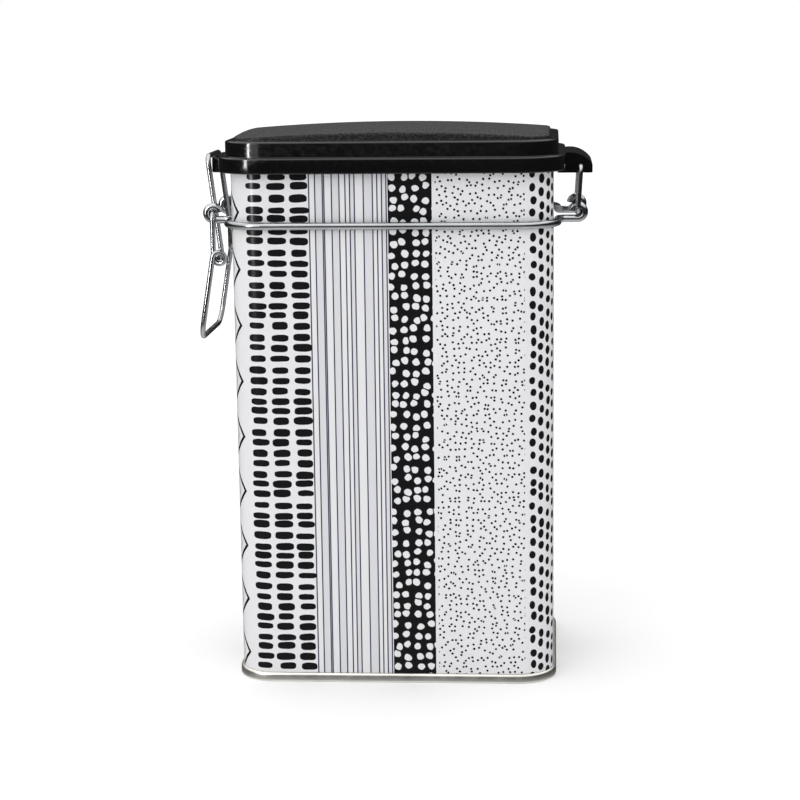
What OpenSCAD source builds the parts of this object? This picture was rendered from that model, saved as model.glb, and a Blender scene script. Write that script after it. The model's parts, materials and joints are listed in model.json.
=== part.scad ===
// Rectangular coffee tin with a clip lid: a printed steel body on a seamed base, a black
// moulded lid with a seal, two neck wires, a hinge link and a toggle latch.
// Millimetres. +Z up, origin at the middle of the base, front face towards -Y.
// The latch is at -X and the hinge is at +X.

/* [Body] */
// Width of the body, along X
body_w = 108; // [100:1:120]
// Depth of the body, along Y
body_d = 76; // [70:1:90]
// Corner radius of the body
corner_r = 12; // [10:0.5:16]
// Height of the rolled rim above the surface
rim_z = 178.5; // [150:0.5:220]
// Thickness of the sheet
sheet = 0.5; // [0.3:0.1:0.6]
// Radius of the rolled rim's section
curl_r = 1.1; // [0.9:0.1:1.2]

/* [Base] */
// Height of the double seam
seam_h = 3.2; // [2.8:0.1:4]
// How far the seam stands out from the body
seam_out = 1; // [0.8:0.1:1.4]
// Height of the base panel above the surface
panel_z = 2.2; // [1.4:0.1:2.4]

/* [Lid] */
// Height of the crown above the rolled rim
crown_rise = 9.9; // [9.5:0.1:12]
// Wall of the moulding's skirt
lid_wall = 1.4; // [1.2:0.1:1.6]
// Height of each of the two bands round the lid
band_h = 5.2; // [5:0.1:5.4]

/* [Wires] */
// Height of the neck wires above the surface
neck_z = 157; // [155:0.5:158]
// Radius of the neck wires
neck_r = 1.3; // [1.1:0.05:1.35]
// Radius of the latch and hinge wires
wire_r = 0.9; // [0.8:0.05:0.95]
// Distance from the body's side to the eyes
eye_out = 8; // [7.5:0.5:8.5]
// Length of the latch lever, from its pivot to its end
lever_l = 43; // [40:0.5:45]

/* [Hidden] */
$fn = 64;
eps = 0.01;
margin = 1;

half_w = body_w / 2;
half_d = body_d / 2;

// Base seam
seam_in = 1.3;
seam_slot_z = 1.2;

// Rolled rim
curl_off = 0.4;
curl_z = rim_z - curl_r;

// Lid, as offsets outwards from the body and heights
skirt_gap = 1.1;
skirt_in = curl_off + curl_r + skirt_gap;
skirt_out = skirt_in + lid_wall;
upper_out = 1.6;
crown_out = -1.2;
skirt_drop = 4.3;
skirt_z = rim_z - skirt_drop;
step_z = skirt_z + band_h;
shoulder_z = step_z + band_h;
crown_top = rim_z + crown_rise;
crown_r = 700;
crown_wall = 1.8;
inner_in = 2.6;
seal_gap = 0.3;

// Seal ring
seal_in = 1.4;
seal_out = 0.8;
seal_h = 1.6;
seal_z = rim_z + seal_gap;

// Eyes and pivots
running = 0.06;
eye_major = wire_r + running + neck_r;
eye_y = 16;
eye_turn = 262;
end_bend = 1.8;
frame_y = 19;
stub_end = 13.8;
pivot_x = half_w + eye_out;
pivot_z = neck_z + eye_major;
neck_off = neck_r + 0.05;
neck_bend = 2.5;

// Hinge
hinge_x = pivot_x + 1;
hinge_z = skirt_z + 0.5;
hinge_lug_y = 16.5;
hinge_lug_x = half_w + 13;
hinge_lug_z = skirt_z - 1.8;
hinge_bend = 2;
hood_r = 9;
hood_x = half_w + 5.5;
hood_z = skirt_z - 4;

// Latch: the bail's bar rests on the rounded tip of the catch
tip_r = 1;
tip_x = half_w + 8.1;
tip_z = rim_z - 1.1;
catch_y = 9.3;
catch_z = skirt_z - 1.6;
bar_gap = 0.3;
bar_angle = 25;
bar_reach = tip_r + wire_r + bar_gap;
bar_x = tip_x + bar_reach * cos(bar_angle);
bar_z = tip_z + bar_reach * sin(bar_angle);
knee_web = 0.2;
knee_major = 2 * wire_r + knee_web;
knee_drop = 16;
knee_eye_w = 2.2;
knee_z = pivot_z - knee_drop;
knee_eye_x = pivot_x - knee_major;
knee_eye_rise = 1;
knee_eye_z = knee_z + knee_eye_rise;
bail_y = 12.5;
bail_bend = 3;
bail_stub_end = 20.6;
bail_l = norm([bar_x - knee_eye_x, bar_z - knee_eye_z]);
bail_lean = atan2(bar_x - knee_eye_x, bar_z - knee_eye_z);
lever_lean = 10;
lever_bend = 6;

// A rectangle of the body's outline, grown by off, with round corners
module outline(off = 0) {
    w = half_w - corner_r;
    d = half_d - corner_r;
    square([2 * w, 2 * (half_d + off)], center = true);
    square([2 * (half_w + off), 2 * d], center = true);
    for (sx = [-1, 1], sy = [-1, 1])
        translate([sx * w, sy * d]) circle(r = corner_r + off);
}

// A slab of the outline between two heights
module slab(off, z0, z1) {
    translate([0, 0, z0]) linear_extrude(height = z1 - z0) outline(off);
}

// A ring between two offsets and two heights
module ring(off_in, off_out, z0, z1) {
    translate([0, 0, z0]) linear_extrude(height = z1 - z0) difference() {
        outline(off_out);
        outline(off_in);
    }
}

// A section swept round the body's outline: its x is the offset and its y the height
module swept() {
    w = half_w - corner_r;
    d = half_d - corner_r;
    for (i = [0 : 3]) {
        sx = (i == 0 || i == 3) ? 1 : -1;
        sy = (i < 2) ? 1 : -1;
        translate([sx * w, sy * d, 0]) rotate([0, 0, 90 * i])
            rotate_extrude(angle = 90) translate([corner_r, 0]) children();
    }
    for (a = [0, 180]) {
        rotate([0, 0, a]) translate([half_w, 0, 0]) rotate([90, 0, 0])
            linear_extrude(height = 2 * d, center = true) children();
        rotate([0, 0, a + 90]) translate([half_d, 0, 0]) rotate([90, 0, 0])
            linear_extrude(height = 2 * w, center = true) children();
    }
}

// A straight wire along Y between y0 and y1
module bar(r, y0, y1) {
    translate([0, y0, 0]) rotate([-90, 0, 0]) cylinder(r = r, h = y1 - y0);
}

// Part of a turn of wire round the Y axis, from angle a0 on, counted from +X towards +Z
module coil(major, r, a0, turn) {
    rotate([90, 0, 0]) rotate([0, 0, a0]) rotate_extrude(angle = turn)
        translate([major, 0]) circle(r = r, $fn = 32);
}

// A quarter bend of wire in the YZ plane, from +Z round to +Y
module quarter(bend, r) {
    rotate([0, -90, 0]) rotate_extrude(angle = 90) translate([bend, 0]) circle(r = r, $fn = 32);
}

// A U of wire: two legs down from z = -top and a crossbar at z = -l
module wire_u(half, l, bend, top, r) {
    for (s = [0, 1]) mirror([0, s, 0]) {
        translate([0, half, bend - l]) cylinder(r = r, h = l - bend - top);
        translate([0, half - bend, bend - l]) mirror([0, 0, 1]) quarter(bend, r);
    }
    translate([0, 0, -l]) bar(r, bend - half, half - bend);
}

// The two ends of a wire frame, turned in along Y at its pivot, as far as y0
module ends_in(half, y0, bend, r) {
    for (s = [0, 1]) mirror([0, s, 0]) {
        translate([0, half - bend, -bend]) quarter(bend, r);
        bar(r, y0, half - bend);
    }
}

// The same, turned out as far as y1
module ends_out(half, y1, bend, r) {
    for (s = [0, 1]) mirror([0, s, 0]) {
        translate([0, half + bend, -bend]) mirror([0, 1, 0]) quarter(bend, r);
        bar(r, half + bend, y1);
    }
}

module body_wall() {
    color("white") swept() {
        translate([-sheet, seam_slot_z]) square([sheet, curl_z - seam_slot_z]);
        translate([curl_off, curl_z]) circle(r = curl_r, $fn = 32);
    }
}

module base_end() {
    color("silver") {
        difference() {
            ring(-seam_in, seam_out, 0, seam_h);
            ring(-sheet, 0, seam_slot_z, seam_h + margin);
        }
        slab(-seam_in + eps, panel_z, panel_z + sheet);
    }
}

// The domed top, lowered and drawn in to make the hollow under it
module crown(off, z0, drop) {
    intersection() {
        slab(off, z0, crown_top + margin);
        translate([0, 0, crown_top - drop - crown_r]) sphere(r = crown_r, $fn = 256);
    }
}

module catch_lug() {
    rotate([90, 0, 0]) linear_extrude(height = 2 * catch_y, center = true) {
        translate([-tip_x, catch_z]) square([tip_x - half_w - skirt_in - eps, tip_z + tip_r - catch_z]);
        translate([-tip_x - tip_r, catch_z]) square([2 * tip_r, tip_z - catch_z]);
        translate([-tip_x, tip_z]) circle(r = tip_r);
    }
}

module hinge_lug() {
    x0 = half_w + upper_out - lid_wall + eps;
    rotate([90, 0, 0]) linear_extrude(height = 2 * hinge_lug_y, center = true) intersection() {
        translate([x0, hinge_lug_z]) square([hinge_lug_x - x0, shoulder_z - hinge_lug_z]);
        translate([hood_x, hood_z]) circle(r = hood_r);
    }
}

module lid() {
    color("#1b1b1c") difference() {
        union() {
            slab(skirt_out, skirt_z, step_z);
            slab(upper_out, step_z - eps, shoulder_z);
            crown(crown_out, shoulder_z - eps, 0);
            catch_lug();
            hinge_lug();
        }
        slab(skirt_in, hinge_lug_z - margin, seal_z);
        slab(seal_out, seal_z - eps, seal_z + seal_h);
        crown(-inner_in, seal_z, crown_wall);
        translate([hinge_x, 0, hinge_z]) bar(wire_r + running, -hinge_lug_y - margin, hinge_lug_y + margin);
    }
}

module lid_gasket() {
    color("gainsboro") ring(-seal_in, seal_out, seal_z, seal_z + seal_h);
}

// Half of the neck wire, from the eye at -X round the front of the body to the eye at +X
module neck_wire_half() {
    x_bend = half_w + neck_off;
    color("silver") translate([0, 0, neck_z]) {
        translate([0, -half_d - neck_off, 0]) rotate([0, 90, 0])
            cylinder(r = neck_r, h = 2 * (half_w - corner_r), center = true);
        for (s = [0, 1]) mirror([s, 0, 0]) {
            translate([half_w - corner_r, corner_r - half_d, 0]) rotate([0, 0, -90])
                rotate_extrude(angle = 90) translate([corner_r + neck_off, 0])
                    circle(r = neck_r, $fn = 32);
            translate([x_bend, 0, 0]) bar(neck_r, corner_r - half_d, -eye_y - neck_bend);
            translate([x_bend + neck_bend, -eye_y - neck_bend, 0]) rotate([0, 0, 90])
                rotate_extrude(angle = 90) translate([neck_bend, 0]) circle(r = neck_r, $fn = 32);
            translate([x_bend + neck_bend, -eye_y, 0]) rotate([0, 90, 0])
                cylinder(r = neck_r, h = pivot_x - x_bend - neck_bend);
            translate([pivot_x, -eye_y, eye_major]) coil(eye_major, neck_r, -90, eye_turn);
        }
    }
}

module neck_wire_front() {
    neck_wire_half();
}

module neck_wire_rear() {
    mirror([0, 1, 0]) neck_wire_half();
}

// The link leans out a little from the eyes to the lid's hinge
module hinge_link() {
    l = norm([hinge_x - pivot_x, hinge_z - pivot_z]);
    lean = atan2(hinge_x - pivot_x, hinge_z - pivot_z);
    color("silver") translate([pivot_x, 0, pivot_z]) rotate([0, 180 + lean, 0]) {
        ends_in(frame_y, stub_end, end_bend, wire_r);
        wire_u(frame_y, l, hinge_bend, end_bend, wire_r);
    }
}

// The lever hangs straight to the knee, where it bends out, and carries an eye there
module latch_lever() {
    color("silver") {
        translate([-pivot_x, 0, pivot_z]) ends_in(frame_y, stub_end, end_bend, wire_r);
        for (s = [-1, 1]) translate([0, s * frame_y, 0]) {
            translate([-pivot_x, 0, knee_z]) cylinder(r = wire_r, h = knee_drop - end_bend);
            translate([-pivot_x, 0, knee_z]) sphere(r = wire_r);
            translate([-knee_eye_x, 0, knee_eye_z]) rotate([90, 0, 0]) difference() {
                cylinder(r = knee_major + wire_r + knee_web, h = knee_eye_w, center = true);
                cylinder(r = wire_r + running, h = knee_eye_w + margin, center = true);
            }
        }
        translate([-pivot_x, 0, knee_z]) rotate([0, lever_lean, 0])
            wire_u(frame_y, lever_l - knee_drop, lever_bend, 0, wire_r);
    }
}

module latch_bail() {
    color("silver") translate([-knee_eye_x, 0, knee_eye_z]) rotate([0, 180 - bail_lean, 0]) {
        ends_out(bail_y, bail_stub_end, end_bend, wire_r);
        wire_u(bail_y, bail_l, bail_bend, end_bend, wire_r);
    }
}

body_wall();
base_end();
lid();
lid_gasket();
neck_wire_front();
neck_wire_rear();
hinge_link();
latch_lever();
latch_bail();
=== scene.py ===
"""Rectangular coffee tin with a clip lid: the visual model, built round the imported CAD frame.

Metres, in the part's own frame: +Z up, front towards -Y, latch at -X, hinge at +X.
"""
import json
import math
from collections import namedtuple
from itertools import accumulate

import bpy
import bmesh
from mathutils import Matrix, Vector


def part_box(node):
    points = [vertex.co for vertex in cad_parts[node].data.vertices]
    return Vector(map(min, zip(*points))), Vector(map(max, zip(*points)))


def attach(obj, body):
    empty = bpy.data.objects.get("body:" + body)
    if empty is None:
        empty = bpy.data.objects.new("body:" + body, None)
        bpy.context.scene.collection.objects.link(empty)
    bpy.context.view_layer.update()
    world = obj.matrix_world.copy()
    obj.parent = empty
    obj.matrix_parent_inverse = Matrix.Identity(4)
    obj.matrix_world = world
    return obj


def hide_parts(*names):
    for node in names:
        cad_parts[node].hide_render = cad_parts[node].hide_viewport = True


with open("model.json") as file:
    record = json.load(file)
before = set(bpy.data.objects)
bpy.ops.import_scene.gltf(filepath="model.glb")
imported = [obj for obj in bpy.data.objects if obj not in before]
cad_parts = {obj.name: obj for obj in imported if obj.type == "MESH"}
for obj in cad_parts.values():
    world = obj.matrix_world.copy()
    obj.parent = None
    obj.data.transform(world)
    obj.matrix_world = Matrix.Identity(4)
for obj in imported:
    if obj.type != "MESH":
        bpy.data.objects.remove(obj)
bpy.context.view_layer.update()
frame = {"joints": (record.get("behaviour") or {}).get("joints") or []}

MM = 0.001
TINY = 1e-6

# The body: its width, depth and height come from the frame, less the rolled rim
CORNER_R = 12 * MM
SHEET = 0.5 * MM
CURL_R = 1.1 * MM
CURL_OFF = 0.4 * MM
WALL_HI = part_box("body_wall")[1]
HALF_W = WALL_HI.x - CURL_OFF - CURL_R
HALF_D = WALL_HI.y - CURL_OFF - CURL_R
RIM_Z = WALL_HI.z

# Offset of the last ring before a cap, from which its rings shrink towards the middle
CORE_OFF = -11 * MM

# Base seam and panel
SEAM_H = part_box("base_end")[1].z
SEAM_OUT = 1.0 * MM
SEAM_IN = -1.3 * MM
SEAM_SLOT_Z = 1.2 * MM
PANEL_Z = 2.2 * MM

# Lid
CROWN_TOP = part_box("lid")[1].z
SKIRT_Z = RIM_Z - 4.3 * MM
BAND_H = 5.2 * MM
STEP_Z = SKIRT_Z + BAND_H
SHOULDER_Z = STEP_Z + BAND_H
SKIRT_IN = 2.6 * MM
SKIRT_OUT = 4.0 * MM
UPPER_OUT = 1.6 * MM
CROWN_OUT = -1.2 * MM
CROWN_R = 700 * MM
CROWN_WALL = 1.8 * MM
CROWN_EDGE = 1.0 * MM
INNER_IN = -2.6 * MM

# Seal ring
SEAL_LO, SEAL_HI = (corner.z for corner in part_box("lid_gasket"))
SEAL_IN = -1.4 * MM
SEAL_OUT = 0.8 * MM

# Wires: their pivots come from the joints, and they turn in the eyes with a running clearance
PIVOTS = {joint["name"]: Vector(joint["pos_m"]) for joint in frame["joints"]}
WIRE_R = 0.9 * MM
NECK_R = 1.3 * MM
NECK_OFF = NECK_R + 0.05 * MM
NECK_BEND = 2.5 * MM
EYE_Y = 16 * MM
EYE_TURN = 262
RUNNING = 0.06 * MM
EYE_R = WIRE_R + RUNNING + NECK_R

# The ends of the latch's wires, from the frame
BAIL_BAR_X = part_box("latch_bail")[0].x + WIRE_R
BAIL_BAR_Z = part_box("latch_bail")[1].z - WIRE_R
LEVER_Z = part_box("latch_lever")[0].z

# A point of the body's outline: its place, its normal, and the arc length from the middle of the front
Spot = namedtuple("Spot", "x y nx ny run")
# A ring of a loft: the outline grown by off and then scaled; with dome set, z counts from the crown's surface
Ring = namedtuple("Ring", "off z scale dome", defaults=(1.0, False))


# ---------------------------------------------------------------- outlines and lofts

def mm(*values):
    """The values, which are in millimetres, in metres."""
    return [value * MM for value in values]


def show(thing):
    """Puts an object into the scene."""
    bpy.context.scene.collection.objects.link(thing)


def outline_points():
    """The body's outline as spots, anticlockwise from the middle of the back, and its whole length."""
    w, d = HALF_W - CORNER_R, HALF_D - CORNER_R
    long_steps, short_steps, corner_steps = 16, 12, 14
    points = []

    def straight(a, b, normal, steps):
        for i in range(steps):
            t = i / steps
            points.append((a[0] + (b[0] - a[0]) * t, a[1] + (b[1] - a[1]) * t, *normal))

    def corner(cx, cy, start):
        for i in range(corner_steps):
            a = math.radians(start + 90 * i / corner_steps)
            nx, ny = math.cos(a), math.sin(a)
            points.append((cx + CORNER_R * nx, cy + CORNER_R * ny, nx, ny))

    straight((0, HALF_D), (-w, HALF_D), (0, 1), long_steps // 2)
    corner(-w, d, 90)
    straight((-HALF_W, d), (-HALF_W, -d), (-1, 0), short_steps)
    corner(-w, -d, 180)
    straight((-w, -HALF_D), (w, -HALF_D), (0, -1), long_steps)
    corner(w, -d, 270)
    straight((HALF_W, -d), (HALF_W, d), (1, 0), short_steps)
    corner(w, d, 0)
    straight((w, HALF_D), (0, HALF_D), (0, 1), long_steps // 2)

    half = 2 * (w + d) + math.pi * CORNER_R
    spots = []
    run = -half
    for (x, y, nx, ny), (next_x, next_y, next_nx, next_ny) in zip(points, points[1:] + points[:1]):
        spots.append(Spot(x, y, nx, ny, run))
        turn = math.acos(max(-1, min(1, nx * next_nx + ny * next_ny)))
        run += CORNER_R * turn if turn > TINY else math.hypot(next_x - x, next_y - y)
    return spots, 2 * half


OUTLINE, PERIMETER = outline_points()


def dome_z(x, y):
    """Height of the crown's surface."""
    return CROWN_TOP - CROWN_R + math.sqrt(CROWN_R ** 2 - x * x - y * y)


def finish_mesh(name, bm, materials, body, nodes, sharp=32):
    """The bmesh as a smooth-shaded piece that rides on a body and stands for CAD nodes."""
    bmesh.ops.recalc_face_normals(bm, faces=bm.faces)
    mesh = bpy.data.meshes.new(name)
    bm.to_mesh(mesh)
    bm.free()
    mesh.shade_smooth()
    mesh.set_sharp_from_angle(angle=math.radians(sharp))
    piece = bpy.data.objects.new(name, mesh)
    show(piece)
    for material in materials:
        mesh.materials.append(material)
    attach(piece, body)
    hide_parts(*nodes)
    return piece


def loft(rings, closed, pick=lambda i: 0, stand_out=lambda run: 0.0):
    """A bmesh swept round the outline through the rings, which end in caps if they aren't closed.

    pick gives a ring's material, and stand_out how far the rings outside the body stand out at an arc length.
    The UV map is (arc length, height) in metres, and (x, y) on the caps.
    """
    bm = bmesh.new()
    uv = bm.loops.layers.uv.new("print")
    count = len(OUTLINE)
    loops = []
    for ring in rings:
        row = []
        for spot in OUTLINE:
            off = ring.off + (stand_out(spot.run) if ring.off >= 0 else 0)
            x = (spot.x + spot.nx * off) * ring.scale
            y = (spot.y + spot.ny * off) * ring.scale
            row.append(bm.verts.new((x, y, ring.z + (dome_z(x, y) if ring.dome else 0))))
        loops.append(row)
    for i in range(len(rings) if closed else len(rings) - 1):
        a, b = loops[i], loops[(i + 1) % len(rings)]
        for j in range(count):
            k = (j + 1) % count
            face = bm.faces.new((a[j], a[k], b[k], b[j]))
            face.material_index = pick(i)
            left = OUTLINE[j].run
            right = OUTLINE[k].run if k else OUTLINE[0].run + PERIMETER
            for loop, run in zip(face.loops, (left, right, right, left)):
                loop[uv].uv = (run, loop.vert.co.z)
    if not closed:
        for row, index in ((loops[0], 0), (loops[-1], len(rings) - 2)):
            middle = bm.verts.new(sum((v.co for v in row), Vector()) / count)
            for j in range(count):
                face = bm.faces.new((row[j], row[(j + 1) % count], middle))
                face.material_index = pick(index)
                for loop in face.loops:
                    loop[uv].uv = (loop.vert.co.x, loop.vert.co.y)
    return bm


def fillet(corners, radii, steps):
    """The corners joined by straight lines, with each inner corner rounded to its radius."""
    points = [corners[0]]
    for before, corner, after, radius in zip(corners, corners[1:], corners[2:], radii):
        u = (before - corner).normalized()
        v = (after - corner).normalized()
        half = u.angle(v) / 2
        reach = radius / math.tan(half)
        centre = corner + (u + v).normalized() * (radius / math.sin(half))
        start = corner + u * reach - centre
        end = corner + v * reach - centre
        axis = start.cross(end).normalized()
        turn = start.angle(end)
        for i in range(steps + 1):
            points.append(centre + Matrix.Rotation(turn * i / steps, 3, axis) @ start)
    points.append(corners[-1])
    return points


def section(corners, radii):
    """Rings from (offset, height) corners, with the inner corners rounded."""
    flat = fillet([Vector((off, 0, z)) for off, z in corners], radii, steps=4)
    return [Ring(p.x, p.z) for p in flat]


# ---------------------------------------------------------------- shader graphs

class Graph:
    """A material's node tree, with short calls for the nodes that the finishes share."""

    def __init__(self, name, **sockets):
        self.material = bpy.data.materials.new(name)
        self.material.use_nodes = True
        self.tree = self.material.node_tree
        self.shader = self.tree.nodes["Principled BSDF"]
        for key, value in sockets.items():
            self.shader.inputs[key.replace("_", " ")].default_value = value

    def node(self, kind, inputs=(), **settings):
        """A new node with its inputs, each a value or a socket to link from, and its settings."""
        made = self.tree.nodes.new(kind)
        for key, value in settings.items():
            setattr(made, key, value)
        for key, value in inputs:
            self.put(value, made.inputs[key])
        return made

    def put(self, value, socket):
        """Sets a socket to a value, or links it from a socket."""
        if isinstance(value, bpy.types.NodeSocket):
            self.tree.links.new(value, socket)
        else:
            socket.default_value = value

    def math(self, operation, a, b=0.0, c=0.0):
        return self.node("ShaderNodeMath", ((0, a), (1, b), (2, c)), operation=operation).outputs[0]

    def vector(self, x, y, z=0.0):
        return self.node("ShaderNodeCombineXYZ", ((0, x), (1, y), (2, z))).outputs[0]

    def noise(self, vector, scale, detail=2.0):
        made = self.node("ShaderNodeTexNoise", (("Vector", vector), ("Scale", scale), ("Detail", detail)))
        return made.outputs["Fac"]

    def cell(self, x, y, seed):
        """A value from 0 to 1 that is random by whole x and y."""
        inputs = (("Vector", self.vector(x, y, seed)),)
        made = self.node("ShaderNodeTexWhiteNoise", inputs, noise_dimensions="3D")
        return made.outputs["Value"]

    def vary(self, x, y, seed, low, high):
        """A value from low to high that is random by whole x and y."""
        return self.math("MULTIPLY_ADD", self.cell(x, y, seed), high - low, low)

    def blend(self, factor, a, b):
        """Colour a where factor is 0 and b where it is 1; a Mix node's colours are its inputs 6 and 7."""
        made = self.node("ShaderNodeMix", data_type="RGBA", clamp_factor=True)
        self.put(factor, made.inputs[0])
        self.put(a, made.inputs[6])
        self.put(b, made.inputs[7])
        return made.outputs[2]

    def span(self, value, low, high, to_low, to_high):
        """The value, mapped from one range to another and held within it."""
        inputs = (
            ("Value", value),
            ("From Min", low),
            ("From Max", high),
            ("To Min", to_low),
            ("To Max", to_high),
        )
        return self.node("ShaderNodeMapRange", inputs).outputs[0]

    def inside(self, value, edge, soft):
        """1 where value is under edge, falling to 0 over soft."""
        return self.span(value, edge, edge + soft, 1.0, 0.0)

    def band(self, value, low, high):
        """1 where value lies between low and high."""
        above = self.math("GREATER_THAN", value, low)
        below = self.math("LESS_THAN", value, high)
        return self.math("MULTIPLY", above, below)

    def bump(self, height, strength, distance):
        inputs = (("Height", height), ("Strength", strength), ("Distance", distance))
        self.put(self.node("ShaderNodeBump", inputs).outputs[0], self.shader.inputs["Normal"])

    def colour(self, value):
        self.put(value, self.shader.inputs["Base Color"])

    def rough(self, value):
        self.put(value, self.shader.inputs["Roughness"])

    def place(self):
        return self.node("ShaderNodeTexCoord").outputs["Object"]


# ---------------------------------------------------------------- the print

# Places round the tin and sizes in mm, from the middle of the front; the print repeats every half turn
PRINT_START = -62.0
PRINT_PERIOD = PERIMETER / MM / 2
ZIGZAG_AT = -56.0
ZIGZAG_PITCH = 19.0
DASH_COLUMNS = [-44.9 + 7.5 * k for k in range(3)]
SIDE_DASHES = (86.5, 93.5)
DASH_PITCH = 3.58
DASH_HALF_H = 1.2
# Thin lines: the first one's place, and the gaps after it
LINES = list(accumulate((-26.5, 2, 2.5, 0.5, 2.5, 2.5, 2, 1.5, 1.5, 3, 3, 1.5, 1.5, 1.5)))
SIDE_LINES = list(accumulate((68, 1, 2.5, 1, 3, 1.5, 3)))
LINE_HALF_W = 0.16
# Gaps between lines that are filled with grey
GREYS = [(LINES[k], LINES[k + 1]) for k in (1, 4, 7, 9, 12)]
BLACK_BAND = (-0.5, 14)
SPECK_BAND = (15, 44.5)
BLOB_COLUMNS = [47.3 + 3.3 * k for k in range(6)]
BLOB_PITCH = 4.3

BLACK_INK = (0.008, 0.008, 0.009, 1)
LINE_INK = (0.035, 0.03, 0.07, 1)


def any_of(g, masks):
    """The union of masks."""
    out = masks[0]
    for mask in masks[1:]:
        out = g.math("MAXIMUM", out, mask)
    return out


def marks(g, s, z, centre, pitch, half_w, half_h, seed, power=3.2, phase=0.0):
    """A column of rounded marks at one place round the tin, each of a slightly different size and place."""
    row_at = g.math("ADD", g.math("DIVIDE", z, pitch), phase)
    row = g.math("FLOOR", row_at)
    shift = g.math("ADD", g.vary(row, 0.0, 1.0, -0.11, 0.11), g.vary(row, seed, 1.0, -0.06, 0.06))
    wide = g.vary(row, seed, 2.0, 0.88 * half_w, 1.12 * half_w)
    tall = g.vary(row, seed, 3.0, 0.84 * half_h, 1.14 * half_h)
    aside = g.vary(row, seed, 4.0, -0.35, 0.35)
    along = g.math("SUBTRACT", g.math("SUBTRACT", g.math("SUBTRACT", row_at, row), 0.5), shift)
    across = g.math("ADD", g.math("SUBTRACT", s, centre), aside)
    u = g.math("DIVIDE", across, wide)
    v = g.math("DIVIDE", g.math("MULTIPLY", along, pitch), tall)
    shape = [g.math("POWER", g.math("ABSOLUTE", part), power) for part in (u, v)]
    return g.inside(g.math("ADD", *shape), 1.0, 0.12)


def zigzag(g, s, z, at, reach, half_line):
    """A thin zigzag line up the tin."""
    rise = 4 * reach / ZIGZAG_PITCH
    x = g.math("MULTIPLY_ADD", g.math("PINGPONG", z, ZIGZAG_PITCH / 2), rise, at - reach)
    gap = g.math("DIVIDE", g.math("ABSOLUTE", g.math("SUBTRACT", s, x)), math.hypot(1.0, rise))
    return g.inside(gap, half_line, 0.1)


def dots(g, s, z, scale, radius, jitter, seed):
    """Scattered round dots that keep apart, as a mask; the radius is in cells, and scale is cells per mm."""
    inputs = (("Vector", g.vector(s, g.math("ADD", z, seed))), ("Scale", scale), ("Randomness", jitter))
    near = g.node("ShaderNodeTexVoronoi", inputs, voronoi_dimensions="2D")
    edge = g.node("ShaderNodeTexVoronoi", inputs, voronoi_dimensions="2D", feature="DISTANCE_TO_EDGE")
    apart = g.span(edge.outputs["Distance"], 0.05, 0.08, 0.0, 1.0)
    return g.math("MULTIPLY", g.inside(near.outputs["Distance"], radius, 0.03), apart)


def columns(g, s, z):
    """The columns of dashes and blobs."""
    made = []
    for places, half_w, seed in ((DASH_COLUMNS, 2.85, 10.0), (SIDE_DASHES, 2.75, 20.0)):
        for k, at in enumerate(places):
            made.append(marks(g, s, z, at, DASH_PITCH, half_w, DASH_HALF_H, seed + k))
    for k, at in enumerate(BLOB_COLUMNS):
        made.append(marks(g, s, z, at, BLOB_PITCH, 1.1, 1.4, 30.0 + k, power=2.0, phase=0.37 * k))
    return made


def print_lacquer():
    """White lacquer printed with bands of black marks, under a clear varnish.

    straight is the place round the tin in mm, s the same with a hand-drawn wobble, and z the height in mm.
    """
    g = Graph("printed_tin", Specular_IOR_Level=0.18, Coat_Weight=0.05, Coat_Roughness=0.06)
    pin = g.node("ShaderNodeUVMap", uv_map="print").outputs[0]
    split = g.node("ShaderNodeSeparateXYZ", ((0, pin),))
    z = g.math("MULTIPLY_ADD", split.outputs[1], 1 / MM, g.math("MULTIPLY", g.noise(pin, 260.0), 0.5))
    from_start = g.math("MULTIPLY_ADD", split.outputs[0], 1 / MM, -PRINT_START)
    straight = g.math("ADD", g.math("WRAP", from_start, PRINT_PERIOD, 0.0), PRINT_START)
    s = g.math("ADD", straight, g.math("MULTIPLY_ADD", g.noise(pin, 330.0), 0.5, -0.25))

    specks = dots(g, s, z, scale=0.50, radius=0.185, jitter=0.85, seed=1.0)
    bent = g.math("MULTIPLY_ADD", g.noise(pin, 420.0, 1.0), 0.9, -0.45)
    blob_s, blob_z = g.math("ADD", s, bent), g.math("SUBTRACT", z, bent)
    blobs = dots(g, blob_s, blob_z, scale=0.275, radius=0.305, jitter=0.45, seed=2.0)
    black = columns(g, s, z)
    black.append(zigzag(g, s, z, ZIGZAG_AT, reach=4.3, half_line=0.5))
    black.append(g.math("MULTIPLY", specks, g.band(straight, *SPECK_BAND)))
    black.append(g.math("MULTIPLY", g.math("SUBTRACT", 1.0, blobs), g.band(straight, *BLACK_BAND)))

    thin = [zigzag(g, s, z, ZIGZAG_AT - 2.6, reach=3.2, half_line=0.12)]
    for at in LINES + SIDE_LINES:
        thin.append(g.inside(g.math("ABSOLUTE", g.math("SUBTRACT", straight, at)), LINE_HALF_W, 0.1))
    greys = any_of(g, [g.band(straight, *pair) for pair in GREYS])

    white = g.blend(g.noise(g.place(), 40.0, 4.0), (0.68, 0.68, 0.695, 1), (0.72, 0.72, 0.735, 1))
    striped = g.blend(g.math("MULTIPLY", greys, 0.75), white, (0.59, 0.60, 0.63, 1))
    lined = g.blend(any_of(g, thin), striped, LINE_INK)
    g.colour(g.blend(any_of(g, black), lined, BLACK_INK))
    g.rough(g.span(g.noise(g.place(), 120.0, 3.0), 0.3, 0.7, 0.16, 0.24))
    g.bump(g.noise(g.place(), 900.0), 0.05, 0.05 * MM)
    return g.material


# ---------------------------------------------------------------- the other finishes

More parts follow.
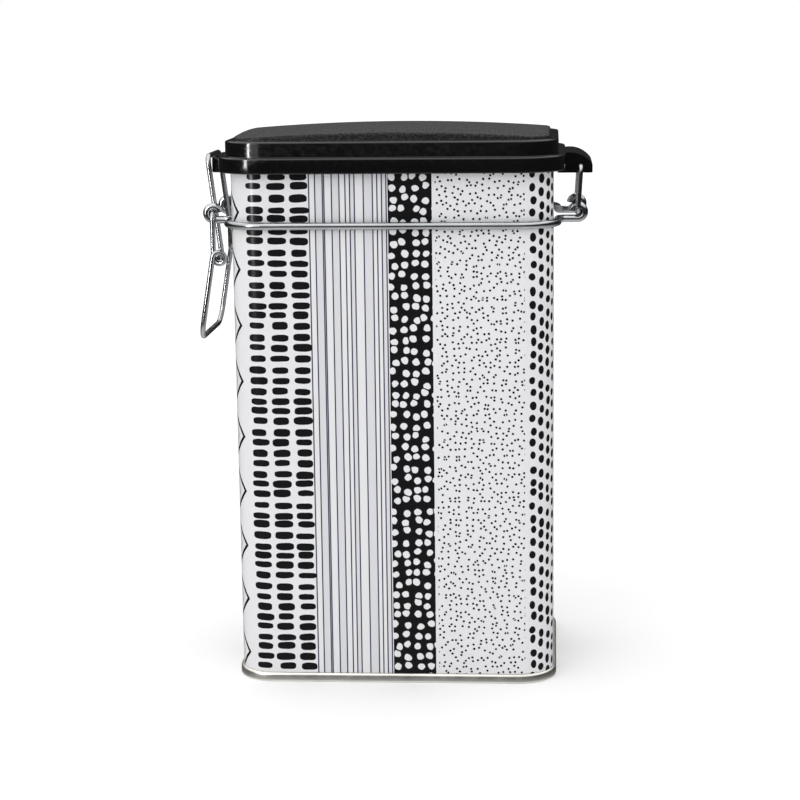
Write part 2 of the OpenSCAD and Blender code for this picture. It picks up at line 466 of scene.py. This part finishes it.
def metal(name, colour, roughness, streaks, bump):
    """A bright metal with fine streaks and soft stains."""
    g = Graph(name, Metallic=1.0)
    place = g.place()
    stained = g.span(g.noise(place, 90.0, 5.0), 0.35, 0.7, 0.0, 1.0)
    darker = (*(0.82 * c for c in colour), 1)
    g.colour(g.blend(stained, (*colour, 1), darker))
    fine = g.noise(place, streaks, 3.0)
    g.rough(g.span(fine, 0.25, 0.75, *roughness))
    g.bump(fine, bump, 0.05 * MM)
    return g.material


def lacquer():
    """The pale gold lacquer inside the tin."""
    g = Graph("inner_lacquer", Metallic=0.7, Coat_Weight=0.3, Coat_Roughness=0.2)
    mottled = g.noise(g.place(), 60.0, 4.0)
    g.colour(g.blend(mottled, (0.60, 0.52, 0.36, 1), (0.70, 0.64, 0.50, 1)))
    g.rough(g.span(mottled, 0.3, 0.7, 0.28, 0.42))
    return g.material


def gloss_plastic():
    """Polished black moulding with a faint flow pattern and fine scuffs."""
    g = Graph("lid_gloss", Specular_IOR_Level=0.5)
    place = g.place()
    g.colour(g.blend(g.noise(place, 30.0), (0.002, 0.002, 0.0022, 1), (0.004, 0.004, 0.0045, 1)))
    g.rough(g.span(g.noise(place, 700.0, 4.0), 0.35, 0.75, 0.10, 0.22))
    g.bump(g.noise(place, 55.0, 1.0), 0.12, 0.4 * MM)
    return g.material


def grained_plastic():
    """The crown's fine spark-eroded grain."""
    g = Graph("lid_grain", Specular_IOR_Level=0.2)
    grit = g.noise(g.place(), 1500.0, 3.0)
    speck = g.span(grit, 0.48, 0.62, 0.0, 1.0)
    g.colour(g.blend(speck, (0.002, 0.002, 0.002, 1), (0.03, 0.03, 0.03, 1)))
    g.rough(g.span(grit, 0.3, 0.7, 0.65, 0.40))
    g.bump(grit, 0.4, 0.2 * MM)
    return g.material


def silicone():
    """Translucent pale silicone with a dusty bloom."""
    g = Graph("seal", Subsurface_Weight=0.3, Subsurface_Scale=0.002)
    bloom = g.noise(g.place(), 300.0, 4.0)
    g.colour(g.blend(bloom, (0.66, 0.66, 0.63, 1), (0.80, 0.80, 0.77, 1)))
    g.rough(g.span(bloom, 0.3, 0.7, 0.38, 0.55))
    g.bump(bloom, 0.15, 0.1 * MM)
    return g.material


PRINT = print_lacquer()
TINPLATE = metal("tinplate", (0.70, 0.685, 0.64), roughness=(0.30, 0.42), streaks=500.0, bump=0.03)
ZINC = metal("zinc_wire", (0.41, 0.425, 0.435), roughness=(0.12, 0.22), streaks=650.0, bump=0.08)
LACQUER = lacquer()
GLOSS = gloss_plastic()
GRAIN = grained_plastic()
SILICONE = silicone()


# ---------------------------------------------------------------- wires

def tube(name, path, radius, body, nodes):
    """A round wire along the path, with chamfered ends."""
    sides = 18
    bm = bmesh.new()
    path = [p for i, p in enumerate(path) if i == 0 or (p - path[i - 1]).length > TINY]
    tangents = []
    for i, p in enumerate(path):
        before, after = path[max(i - 1, 0)], path[min(i + 1, len(path) - 1)]
        tangents.append((after - before).normalized())
    normal = tangents[0].orthogonal().normalized()
    chamfer = 0.25 * radius
    stations = [(path[0], tangents[0], radius - chamfer)]
    stations += [(path[0] + tangents[0] * chamfer, tangents[0], radius)]
    stations += [(p, t, radius) for p, t in zip(path[1:-1], tangents[1:-1])]
    stations += [(path[-1] - tangents[-1] * chamfer, tangents[-1], radius)]
    stations += [(path[-1], tangents[-1], radius - chamfer)]
    rows = []
    for p, t, r in stations:
        normal = (normal - t * normal.dot(t)).normalized()
        side = t.cross(normal)
        angles = [2 * math.pi * k / sides for k in range(sides)]
        rows.append([bm.verts.new(p + (normal * math.cos(a) + side * math.sin(a)) * r) for a in angles])
    for a, b in zip(rows, rows[1:]):
        for k in range(sides):
            bm.faces.new((a[k], a[(k + 1) % sides], b[(k + 1) % sides], b[k]))
    bm.faces.new(rows[0])
    bm.faces.new(rows[-1])
    return finish_mesh(name, bm, [ZINC], body, nodes, sharp=40)


def arc(centre, start, degrees, axis, steps):
    """Points round an axis through the centre, from the start on."""
    turn = math.radians(degrees)
    return [centre + Matrix.Rotation(turn * i / steps, 3, axis) @ (start - centre) for i in range(steps + 1)]


def mirrored(path, x=1, y=1):
    """The path mirrored across the planes whose factor is -1."""
    return [Vector((p.x * x, p.y * y, p.z)) for p in path]


def neck_wire(name, node, side):
    """Half of the wire round the neck, with a coiled eye at each end; side is -1 at the front."""
    pivot = PIVOTS["link_swing"]
    z = pivot.z - EYE_R
    x_side, y_side = HALF_W + NECK_OFF, HALF_D + NECK_OFF
    bend = Vector((x_side + NECK_BEND, -EYE_Y - NECK_BEND, z))
    up = Vector((0, 0, 1))
    corner = Vector((HALF_W - CORNER_R, CORNER_R - HALF_D, z))
    path = [Vector((0, -y_side, z))]
    path += arc(corner, Vector((corner.x, -y_side, z)), 90, up, 16)
    path += arc(bend, Vector((x_side, bend.y, z)), -90, up, 8)
    eye = Vector((pivot.x, -EYE_Y, pivot.z))
    path += arc(eye, Vector((pivot.x, -EYE_Y, z)), -EYE_TURN, Vector((0, 1, 0)), 36)
    whole = mirrored(path[:0:-1], x=-1) + path
    return tube(name, mirrored(whole, y=-side), NECK_R, "tin", [node])


def both_sides(half):
    """A path from the -Y end to the +Y end, from its -Y half."""
    return half + mirrored(half[::-1], y=-1)


def hinge_link():
    """The wire loop between the neck wires' eyes and the lid's hinge lug."""
    low, high = PIVOTS["link_swing"], PIVOTS["lid_hinge"]
    frame_y, stub_y = mm(19, 13.8)
    corners = [
        Vector((low.x, -stub_y, low.z)),
        Vector((low.x, -frame_y, low.z)),
        Vector((high.x, -frame_y, high.z)),
        Vector((high.x, 0, high.z)),
    ]
    path = fillet(corners, mm(1.8, 2), 8)
    return tube("link_wire", both_sides(path), WIRE_R, "link", ["hinge_link"])


def latch_bail():
    """The wire bail from the lever's knee up over the lid's catch."""
    low = PIVOTS["bail_pivot"]
    leg_y, stub_y = mm(12.5, 20.6)
    bar = Vector((BAIL_BAR_X, 0, BAIL_BAR_Z))
    corners = [
        Vector((low.x, -stub_y, low.z)),
        Vector((low.x, -leg_y, low.z)),
        Vector((bar.x, -leg_y, bar.z)),
        bar,
    ]
    path = fillet(corners, mm(1.8, 3), 8)
    return tube("bail_wire", both_sides(path), WIRE_R, "bail", ["latch_bail"])


def latch_lever():
    """The wire lever: in from the eyes, down to a coil at each knee, and out to its loop."""
    top, knee = PIVOTS["lever_pivot"], PIVOTS["bail_pivot"]
    stub_y, upper_y, lower_y = mm(13.8, 18.6, 20.5)
    coil_r = knee.x - top.x
    lean = math.radians(10)
    lower_l = 27 * MM
    end = Vector((top.x - lower_l * math.sin(lean), 0, LEVER_Z + WIRE_R))
    upper = [
        Vector((top.x, -stub_y, top.z)),
        Vector((top.x, -upper_y, top.z)),
        Vector((top.x, -upper_y, knee.z)),
    ]
    path = fillet(upper, mm(1.8), 8)
    steps = 44
    sweep = 2 * math.pi - lean
    for i in range(1, steps + 1):
        a = math.pi + sweep * i / steps
        y = upper_y + (lower_y - upper_y) * i / steps
        path.append(Vector((knee.x + coil_r * math.cos(a), -y, knee.z + coil_r * math.sin(a))))
    loop = [path[-1], Vector((end.x, -lower_y, end.z)), Vector((end.x, 0, end.z))]
    path += fillet(loop, mm(6), 12)[1:]
    return tube("lever_wire", both_sides(path), WIRE_R, "lever", ["latch_lever"])


# ---------------------------------------------------------------- body, base, lid and seal

def body_wall():
    """The printed wall with its rolled rim and a lapped seam down the back."""
    lap_half, lap_out = mm(2.5, 0.15)

    def lap(run):
        return lap_out if abs(run) > PERIMETER / 2 - lap_half else 0.0

    curl_z = RIM_Z - CURL_R
    wall_top = curl_z - 1.0 * MM
    rows = 12
    outer = [Ring(0, SEAM_SLOT_Z + (wall_top - SEAM_SLOT_Z) * i / rows) for i in range(rows + 1)]
    rim = [
        Ring(CURL_OFF + CURL_R * math.cos(math.radians(a)), curl_z + CURL_R * math.sin(math.radians(a)))
        for a in range(-100, 201, 20)
    ]
    inner = [Ring(-SHEET, wall_top), Ring(-SHEET, SEAM_SLOT_Z)]
    rings = outer + rim + inner
    first_rim = len(outer) - 1
    first_inner = len(outer) + len(rim) - 1

    def pick(i):
        return 0 if i < first_rim else (1 if i < first_inner else 2)

    bm = loft(rings, True, pick, lap)
    finishes = [PRINT, TINPLATE, LACQUER]
    return finish_mesh("printed_wall", bm, finishes, "tin", ["body_wall"], sharp=50)


def base_end():
    """The double seam and the stamped base panel."""
    top_z = PANEL_Z + SHEET
    stamped_z = PANEL_Z - 0.7 * MM
    clear = 0.02 * MM
    under = [Ring(CORE_OFF, stamped_z, scale) for scale in (0.15, 0.6, 0.78)]
    under += [Ring(CORE_OFF, PANEL_Z, scale) for scale in (0.80, 0.90)]
    under += [Ring(CORE_OFF, stamped_z, 0.92)]
    under += [Ring(-9 * MM, stamped_z), Ring(-8 * MM, PANEL_Z), Ring(-4 * MM, PANEL_Z)]
    seam = section(
        [
            (-2.0 * MM, PANEL_Z),
            (SEAM_IN, PANEL_Z),
            (SEAM_IN, 0),
            (SEAM_OUT, 0),
            (SEAM_OUT, SEAM_H),
            (clear, SEAM_H),
            (clear, SEAM_SLOT_Z),
            (-SHEET, SEAM_SLOT_Z),
            (-SHEET, SEAM_H),
            (SEAM_IN, SEAM_H),
            (SEAM_IN, top_z),
            (-4 * MM, top_z),
        ],
        mm(0.2, 0.8, 0.8, 0.9, 0.2, 0.05, 0.05, 0.1, 0.4, 0.3),
    )
    upper = [Ring(CORE_OFF, top_z, scale) for scale in (1.0, 0.5, 0.15)]
    bm = loft(under + seam + upper, False)
    return finish_mesh("seamed_base", bm, [TINPLATE], "tin", ["base_end"])


def lid_shell():
    """The moulded lid: a skirt, a stepped band and a domed, grained crown with a rounded edge."""
    scales = (0.12, 0.3, 0.5, 0.7, 0.86)
    under = [Ring(CORE_OFF, -CROWN_WALL, scale, True) for scale in scales]
    under += [Ring(off, -CROWN_WALL, 1.0, True) for off in (CORE_OFF, -7 * MM, INNER_IN)]
    # The bands' last corner only sets the way that the crown's side rises, and is left off
    edge_z = dome_z(HALF_W, 0) - CROWN_EDGE
    bands = section(
        [
            (INNER_IN, SEAL_HI + 1.0 * MM),
            (INNER_IN, SEAL_HI),
            (SEAL_OUT, SEAL_HI),
            (SEAL_OUT, SEAL_LO),
            (SKIRT_IN, SEAL_LO),
            (SKIRT_IN, SKIRT_Z),
            (SKIRT_OUT, SKIRT_Z),
            (SKIRT_OUT, STEP_Z),
            (UPPER_OUT, STEP_Z),
            (UPPER_OUT, SHOULDER_Z),
            (CROWN_OUT, SHOULDER_Z),
            (CROWN_OUT, edge_z),
        ],
        mm(0.1, 0.1, 0.1, 0.4, 0.3, 0.45, 0.6, 0.2, 0.6, 0.2),
    )[:-1]
    steps = 7
    edge = []
    for i in range(steps + 1):
        t = math.radians(90 * i / steps)
        off = CROWN_OUT - CROWN_EDGE * (1 - math.cos(t))
        edge.append(Ring(off, -CROWN_EDGE * (1 - math.sin(t)), 1.0, True))
    top = [Ring(off, 0, 1.0, True) for off in (*mm(-4, -7.5), CORE_OFF)]
    top += [Ring(CORE_OFF, 0, scale, True) for scale in scales[::-1]]
    first_crown = len(under) + len(bands) - 2

    def pick(i):
        return 1 if i >= first_crown else 0

    bm = loft(under + bands + edge + top, False, pick)
    return finish_mesh("lid_moulding", bm, [GLOSS, GRAIN], "lid", ["lid"])


def lug(name, corners, radii, half_y, bevel):
    """A moulded lug: a rounded profile in XZ, extruded along Y, with its edges eased."""
    profile = fillet([Vector((x, 0, z)) for x, z in corners], radii, 8)
    bm = bmesh.new()
    ends = [[bm.verts.new((p.x, y, p.z)) for p in profile] for y in (-half_y, half_y)]
    count = len(profile)
    for k in range(count):
        bm.faces.new((ends[0][k], ends[0][(k + 1) % count], ends[1][(k + 1) % count], ends[1][k]))
    caps = [bm.faces.new(row) for row in ends]
    rims = list({edge for cap in caps for edge in cap.edges})
    bmesh.ops.bevel(bm, geom=rims, offset=bevel, segments=3, affect="EDGES", profile=0.5)
    return finish_mesh(name, bm, [GLOSS], "lid", ["lid"], sharp=40)


def catch_lug():
    """The catch on the lid's latch side, under the bail's bar."""
    tip_x, tip_top = HALF_W + 9.1 * MM, RIM_Z - 0.1 * MM
    root_x, bottom = HALF_W + 3.0 * MM, SKIRT_Z - 1.6 * MM
    mid = (-(tip_x + root_x) / 2, bottom)
    corners = [mid, (-root_x, bottom), (-root_x, tip_top), (-tip_x, tip_top), (-tip_x, bottom), mid]
    return lug("lid_catch", corners, mm(0.1, 0.1, 1.0, 0.4), half_y=9.3 * MM, bevel=0.35 * MM)


def hinge_hood():
    """The hooded lug on the lid's hinge side, which the link's crossbar runs through."""
    radius = 9 * MM
    centre_x, centre_z = HALF_W + 5.5 * MM, SKIRT_Z - 4.0 * MM
    root_x, tip_x = HALF_W + 1.2 * MM, HALF_W + 13 * MM
    bottom = SKIRT_Z - 1.8 * MM
    steps = 14
    start = math.acos((root_x - centre_x) / radius)
    end = math.acos((tip_x - centre_x) / radius)
    back = []
    for i in range(steps + 1):
        a = start + (end - start) * i / steps
        back.append((centre_x + radius * math.cos(a), centre_z + radius * math.sin(a)))
    mid = ((root_x + tip_x) / 2, bottom)
    corners = [mid, (root_x, bottom), *back, (tip_x, bottom), mid]
    radii = mm(0.1, *[0.05] * steps, 0.3, 0.4)
    return lug("lid_hinge_hood", corners, radii, half_y=16.5 * MM, bevel=0.5 * MM)


def lid_gasket():
    """The seal ring, with a rounded lower lip."""
    mid = (SEAL_IN + SEAL_OUT) / 2
    corners = [
        (mid, SEAL_LO),
        (SEAL_OUT, SEAL_LO),
        (SEAL_OUT, SEAL_HI),
        (SEAL_IN, SEAL_HI),
        (SEAL_IN, SEAL_LO),
        (mid, SEAL_LO),
    ]
    rings = section(corners, mm(0.4, 0.2, 0.2, 0.4))[:-1]
    bm = loft(rings, True)
    return finish_mesh("seal_ring", bm, [SILICONE], "lid", ["lid_gasket"])


# ---------------------------------------------------------------- stage

def floor():
    """A pale floor with no visible edge, left out of reflections."""
    bm = bmesh.new()
    bmesh.ops.create_grid(bm, x_segments=24, y_segments=24, size=6.0)
    mesh = bpy.data.meshes.new("floor")
    bm.to_mesh(mesh)
    bm.free()
    piece = bpy.data.objects.new("floor", mesh)
    show(piece)
    g = Graph("floor", Roughness=0.9, Specular_IOR_Level=0.0)
    g.colour(g.blend(g.noise(g.place(), 3.0), (0.93, 0.93, 0.93, 1), (0.95, 0.95, 0.95, 1)))
    mesh.materials.append(g.material)
    piece.visible_glossy = False


def area_light(name, at, size, power):
    """A rectangular light that faces the tin's middle."""
    data = bpy.data.lights.new(name, "AREA")
    data.shape = "RECTANGLE"
    data.size, data.size_y = size
    data.energy = power
    light = bpy.data.objects.new(name, data)
    light.location = at
    towards = Vector((0, 0, 0.1)) - Vector(at)
    light.rotation_euler = towards.to_track_quat("-Z", "Y").to_euler()
    show(light)
    return light


def sky():
    """A sun so wide that it lights like an overcast sky, nearly overhead."""
    data = bpy.data.lights.new("sky", "SUN")
    data.energy = 2.55
    data.angle = math.radians(140)
    light = bpy.data.objects.new("sky", data)
    light.rotation_euler = (math.radians(8), math.radians(-7), 0)
    show(light)


def surround():
    """A world that is white to the camera, even as light, and dark near the horizon in reflections."""
    world = bpy.data.worlds.new("studio")
    bpy.context.scene.world = world
    world.use_nodes = True
    tree = world.node_tree
    rays = tree.nodes.new("ShaderNodeLightPath")
    place = tree.nodes.new("ShaderNodeTexCoord")
    split = tree.nodes.new("ShaderNodeSeparateXYZ")
    tree.links.new(place.outputs["Generated"], split.inputs[0])
    height = tree.nodes.new("ShaderNodeMath")
    height.operation = "ABSOLUTE"
    tree.links.new(split.outputs["Z"], height.inputs[0])
    reflected = tree.nodes.new("ShaderNodeMapRange")
    for key, value in (("From Min", 0.25), ("From Max", 0.9), ("To Min", 0.03), ("To Max", 1.1)):
        reflected.inputs[key].default_value = value
    tree.links.new(height.outputs[0], reflected.inputs["Value"])
    level = tree.nodes.new("ShaderNodeMix")
    even, glossy = level.inputs[2], level.inputs[3]
    even.default_value = 0.38
    tree.links.new(rays.outputs["Is Glossy Ray"], level.inputs[0])
    tree.links.new(reflected.outputs[0], glossy)
    seen = tree.nodes.new("ShaderNodeMath")
    seen.operation = "MAXIMUM"
    tree.links.new(rays.outputs["Is Camera Ray"], seen.inputs[0])
    tree.links.new(level.outputs[0], seen.inputs[1])
    background = tree.nodes["Background"]
    background.inputs["Color"].default_value = (1, 1, 1, 1)
    tree.links.new(seen.outputs[0], background.inputs["Strength"])


def studio():
    """A soft sky, a tall softbox at the front left that only reflections show, and a weak fill beside it."""
    sky()
    softbox = area_light("softbox", (-0.95, -1.0, 0.45), size=(0.11, 0.9), power=11)
    softbox.visible_diffuse = False
    area_light("fill", (-1.0, -1.7, 0.8), size=(1.0, 0.8), power=4.5)
    surround()
    bpy.context.scene.view_settings.view_transform = "Standard"


def camera():
    """The photograph's view: slightly from the right and above, with a long lens."""
    yaw, pitch, roll = (math.radians(a) for a in (3.45, -10.77, -0.57))
    data = bpy.data.cameras.new("camera")
    data.sensor_width = 36
    data.lens = 90.4
    data.shift_x = -0.0425
    data.clip_start, data.clip_end = 0.05, 50
    cam = bpy.data.objects.new("camera", data)
    turn = Matrix.Rotation(yaw, 4, "Z")
    away = Matrix.Translation((0.0118, -0.698, 0.224))
    tilt = Matrix.Rotation(math.radians(90) + pitch, 4, "X")
    cam.matrix_world = turn @ away @ tilt @ Matrix.Rotation(roll, 4, "Z")
    show(cam)
    bpy.context.scene.camera = cam


# ---------------------------------------------------------------- build

camera()
body_wall()
base_end()
lid_shell()
catch_lug()
hinge_hood()
lid_gasket()
neck_wire("front_wire", "neck_wire_front", -1)
neck_wire("rear_wire", "neck_wire_rear", 1)
hinge_link()
latch_lever()
latch_bail()
floor()
studio()
